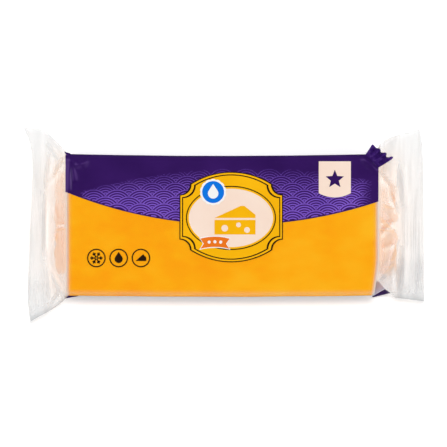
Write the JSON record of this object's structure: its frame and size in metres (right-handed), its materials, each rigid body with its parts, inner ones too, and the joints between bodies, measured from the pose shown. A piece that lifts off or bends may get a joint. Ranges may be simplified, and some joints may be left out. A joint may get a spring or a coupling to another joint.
{
  "type": "wrapped cheese block",
  "caption": "Bar of orange cheddar in a sealed sleeve of clear film with a violet printed band, a gold plaque and crimped ends, lying on its back with its front up.",
  "frame": {"origin": "middle of the flat back that the pack rests on", "axes": "+X along the bar, +Y to the long side that the printed band follows, +Z out of the printed front, with the pack lying on its back"},
  "size_m": [0.1814, 0.0881, 0.0258],
  "materials": {
    "cheese": "satin",
    "clear_film": "gloss",
    "violet_print": "gloss",
    "gold_print": "gloss",
    "pale_print": "gloss"
  },
  "bodies": {
    "root": {"cheese_pack": "cheese"}
  },
  "joints": []
}
